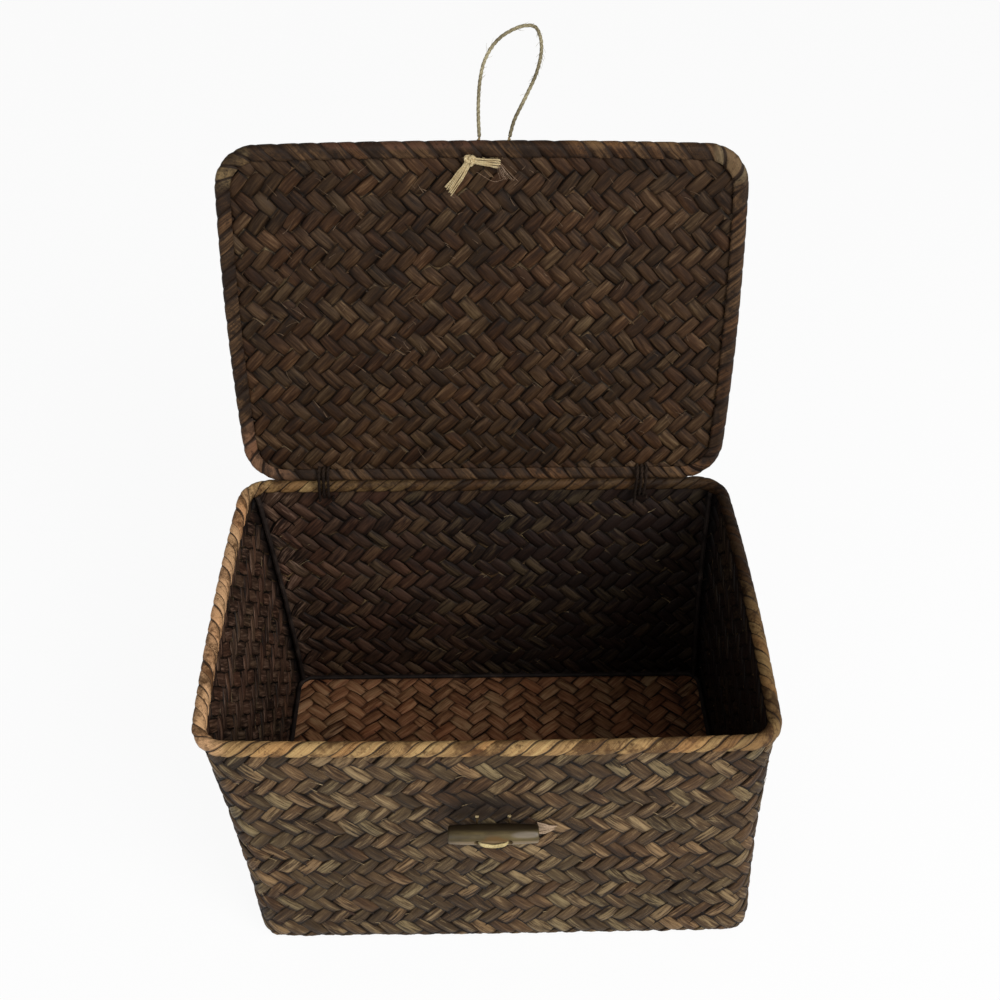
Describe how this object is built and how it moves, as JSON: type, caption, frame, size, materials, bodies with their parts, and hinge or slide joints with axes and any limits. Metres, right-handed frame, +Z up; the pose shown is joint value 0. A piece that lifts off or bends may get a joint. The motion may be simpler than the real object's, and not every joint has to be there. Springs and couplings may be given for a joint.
{
  "type": "lidded woven box",
  "caption": "Small rectangular box plaited from flat leaf strips, with a bound rim, a hinged woven lid tied on with twine, and a twine loop that closes over a toggle.",
  "frame": {"origin": "middle of the flat underside, halfway along its length and its depth", "axes": "+Z up through the open top, -Y towards the front with the toggle, +X along the front to the right as seen from the front"},
  "size_m": [0.2595, 0.271, 0.3606],
  "materials": {
    "leaf": "dark-stained plaited leaf, dry and slightly waxy",
    "inner_leaf": "reddish-brown plaited leaf",
    "binding": "light tan leaf wraps with brown stains",
    "lid_leaf": "dark-stained plaited leaf",
    "lid_binding": "dark leaf wraps with paler patches",
    "wire": "dark dull wire",
    "tie_twine": "near-black twisted twine",
    "twine": "pale twisted twine",
    "toggle": "polished dark horn or hardwood"
  },
  "bodies": {
    "box": {"woven_body": "leaf", "floor_panel": "inner_leaf", "base_wire": "wire", "corner_post_front_left": "wire", "corner_post_front_right": "wire", "corner_post_back_left": "wire", "corner_post_back_right": "wire", "rim_wire": "wire", "rim_binding": "binding", "hinge_tie_left": "tie_twine", "hinge_tie_right": "tie_twine", "toggle_knot": "twine"},
    "lid": {"lid_panel": "lid_leaf", "lid_wire": "wire", "lid_binding": "lid_binding", "loop_knot": "twine"},
    "toggle": {"toggle_bar": "toggle", "toggle_twine": "twine"},
    "loop": {"closure_loop": "twine"}
  },
  "joints": [
    {"name": "lid_hinge", "type": "hinge", "parent": "box", "child": "lid", "pos_m": [-0.009, 0.0858, 0.1584], "axis": [1, 0, 0], "range_deg": [0, 100]},
    {"name": "toggle_swing", "type": "hinge", "parent": "box", "child": "toggle", "pos_m": [-0.00685, -0.08766, 0.102], "axis": [-1, 0, 0], "range_deg": [0, 80]},
    {"name": "loop_swing", "type": "hinge", "parent": "lid", "child": "loop", "pos_m": [-0.004, 0.11866, 0.32924], "axis": [1, 0, 0], "range_deg": [-20, 120]}
  ]
}
